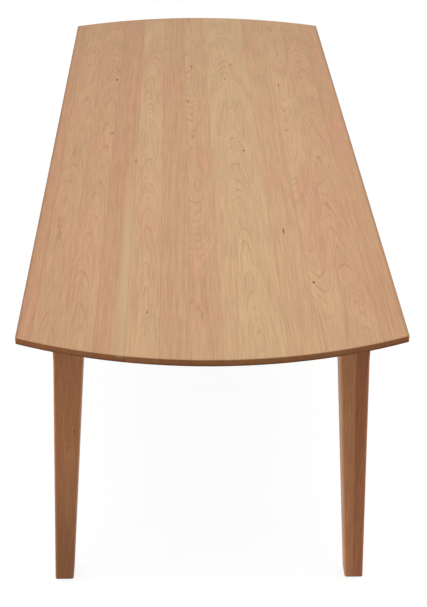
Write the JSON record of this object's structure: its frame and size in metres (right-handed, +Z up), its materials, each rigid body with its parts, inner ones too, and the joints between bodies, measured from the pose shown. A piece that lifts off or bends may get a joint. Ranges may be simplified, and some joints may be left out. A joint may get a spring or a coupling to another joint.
{
  "type": "butterfly leaf table",
  "caption": "Closed wooden dining table with bowed ends and raked tapered legs; the top parts on geared slides over a hinged folding leaf stored in the frame.",
  "frame": {"origin": "on the floor, below the middle of the closed top", "axes": "+Y along the table's length, +X across it, +Z up"},
  "size_m": [0.89, 2.22, 0.762],
  "materials": {
    "cherry_top": "satin oil and varnish",
    "cherry_frame": "satin oil and varnish",
    "maple": "waxed",
    "birch_dowel": "bare",
    "zinc_steel": "zinc plated",
    "brass": "satin",
    "nylon": "moulded",
    "felt": "pressed felt"
  },
  "bodies": {
    "frame": {"leg_front_left": "cherry_frame", "leg_front_right": "cherry_frame", "leg_back_left": "cherry_frame", "leg_back_right": "cherry_frame", "apron_left": "cherry_frame", "apron_right": "cherry_frame", "apron_front": "cherry_frame", "apron_back": "cherry_frame", "corner_blocks": "maple", "cross_rail_front": "maple", "cross_rail_mid_front": "maple", "cross_rail_mid_back": "maple", "cross_rail_back": "maple", "slide_rail_left": "maple", "slide_rail_right": "maple", "pivot_post_front": "maple", "pivot_post_back": "maple", "leaf_rest_bar": "maple", "hanger_bolts": "zinc_steel", "bolt_washers": "zinc_steel", "bolt_nuts": "zinc_steel", "corner_block_screws": "zinc_steel", "slide_rail_screws": "zinc_steel", "gear_axles": "zinc_steel", "thrust_washers": "nylon", "pivot_bushes": "nylon", "foot_glides": "nylon", "rest_pads": "felt"},
    "front_half": {"top_front": "cherry_top", "runner_front_left": "maple", "runner_front_right": "maple", "batten_front": "maple", "rack_front_left": "zinc_steel", "rack_front_right": "zinc_steel", "runner_screws_front": "zinc_steel", "batten_screws_front": "zinc_steel", "lock_catches": "zinc_steel"},
    "back_half": {"top_back": "cherry_top", "runner_back_left": "maple", "runner_back_right": "maple", "batten_back": "maple", "rack_back_left": "zinc_steel", "rack_back_right": "zinc_steel", "runner_screws_back": "zinc_steel", "batten_screws_back": "zinc_steel", "lock_plates": "zinc_steel", "top_dowels": "birch_dowel"},
    "gear_left": {"gear_left": "zinc_steel"},
    "gear_right": {"gear_right": "zinc_steel"},
    "lock_left": {"lock_lever_left": "zinc_steel"},
    "lock_right": {"lock_lever_right": "zinc_steel"},
    "leaf": {"leaf_wing_upper": "cherry_top", "leaf_wing_lower": "cherry_top", "leaf_dowels": "birch_dowel", "pivot_pins": "zinc_steel", "pivot_cleats": "maple", "hinge_barrels": "brass", "hinge_links": "brass", "hinge_pins": "brass"}
  },
  "joints": [
    {"name": "front_half_slide", "type": "slide", "parent": "frame", "child": "front_half", "axis": [0, -1, 0], "range_m": [0, 0.235]},
    {"name": "back_half_slide", "type": "slide", "parent": "frame", "child": "back_half", "axis": [0, 1, 0], "range_m": [0, 0.235]},
    {"name": "gear_right_spin", "type": "hinge", "parent": "frame", "child": "gear_right", "pos_m": [0.287, 0, 0.73], "axis": [0, 0, 1], "range_deg": [0, 750]},
    {"name": "gear_left_spin", "type": "hinge", "parent": "frame", "child": "gear_left", "pos_m": [-0.287, 0, 0.73], "axis": [0, 0, -1], "range_deg": [0, 750]},
    {"name": "lock_right_turn", "type": "hinge", "parent": "back_half", "child": "lock_right", "pos_m": [0.41, 0.018, 0.7376], "axis": [0, 0, 1], "range_deg": [0, 90]},
    {"name": "lock_left_turn", "type": "hinge", "parent": "back_half", "child": "lock_left", "pos_m": [-0.41, 0.018, 0.7376], "axis": [0, 0, -1], "range_deg": [0, 90]},
    {"name": "leaf_swing", "type": "hinge", "parent": "frame", "child": "leaf", "pos_m": [-0.11125, 0, 0.731], "axis": [0, -1, 0], "range_deg": [0, 3.5]}
  ],
  "couplings": [
    {"joint": "back_half_slide", "follows": "front_half_slide", "ratio": 1},
    {"joint": "gear_right_spin", "follows": "front_half_slide", "rad_per_m": 55.556},
    {"joint": "gear_left_spin", "follows": "front_half_slide", "rad_per_m": 55.556}
  ]
}
